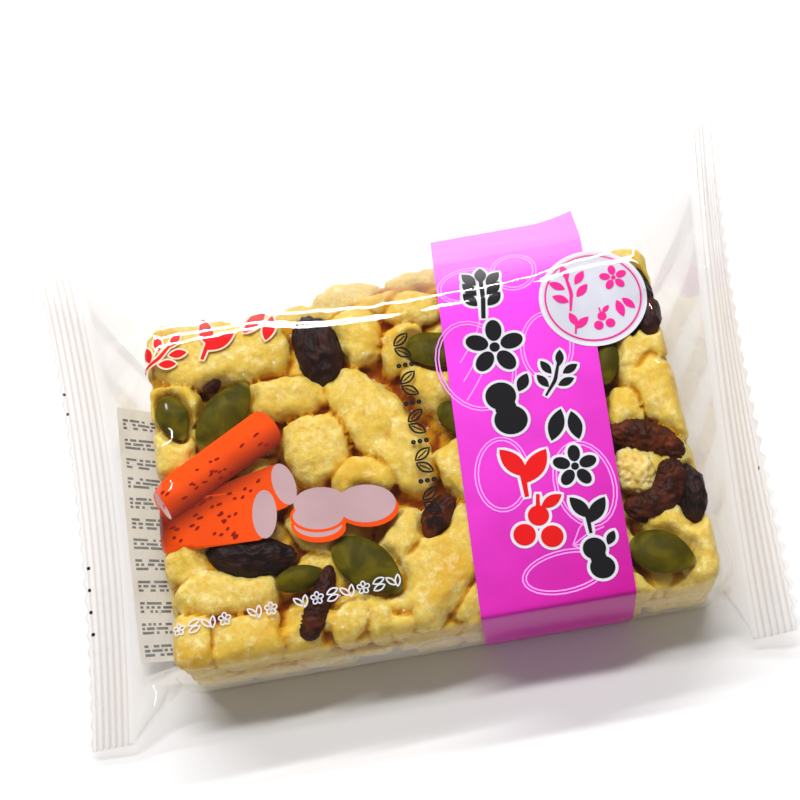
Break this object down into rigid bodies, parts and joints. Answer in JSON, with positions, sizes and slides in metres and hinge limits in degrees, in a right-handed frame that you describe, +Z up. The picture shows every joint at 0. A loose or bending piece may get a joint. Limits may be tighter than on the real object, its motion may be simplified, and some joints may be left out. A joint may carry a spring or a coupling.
{
  "type": "packed sachima sweet",
  "caption": "Pressed block of puffed dough with raisins and pumpkin seeds, sealed in clear printed film with crimped zigzag ends.",
  "frame": {"origin": "middle of the block's underside, on the surface that the pack rests on", "axes": "+X from the left end seal to the right one, +Y away from the picture's camera, +Z up through the printed side"},
  "size_m": [0.1319, 0.0954, 0.0218],
  "materials": {
    "pack": "clear glossy film over golden puffed dough",
    "film": "thin clear glossy film",
    "dough": "puffed dough with a grainy syrup glaze",
    "raisin": "wrinkled, sticky",
    "seed": "smooth green kernel with a faint sheen",
    "print_magenta": "printed ink under gloss film",
    "print_dark": "printed ink under gloss film",
    "print_white": "printed ink under gloss film",
    "print_red": "printed ink under gloss film",
    "print_orange": "printed ink under gloss film"
  },
  "bodies": {
    "root": {"sachima_pack": "pack"}
  },
  "joints": []
}
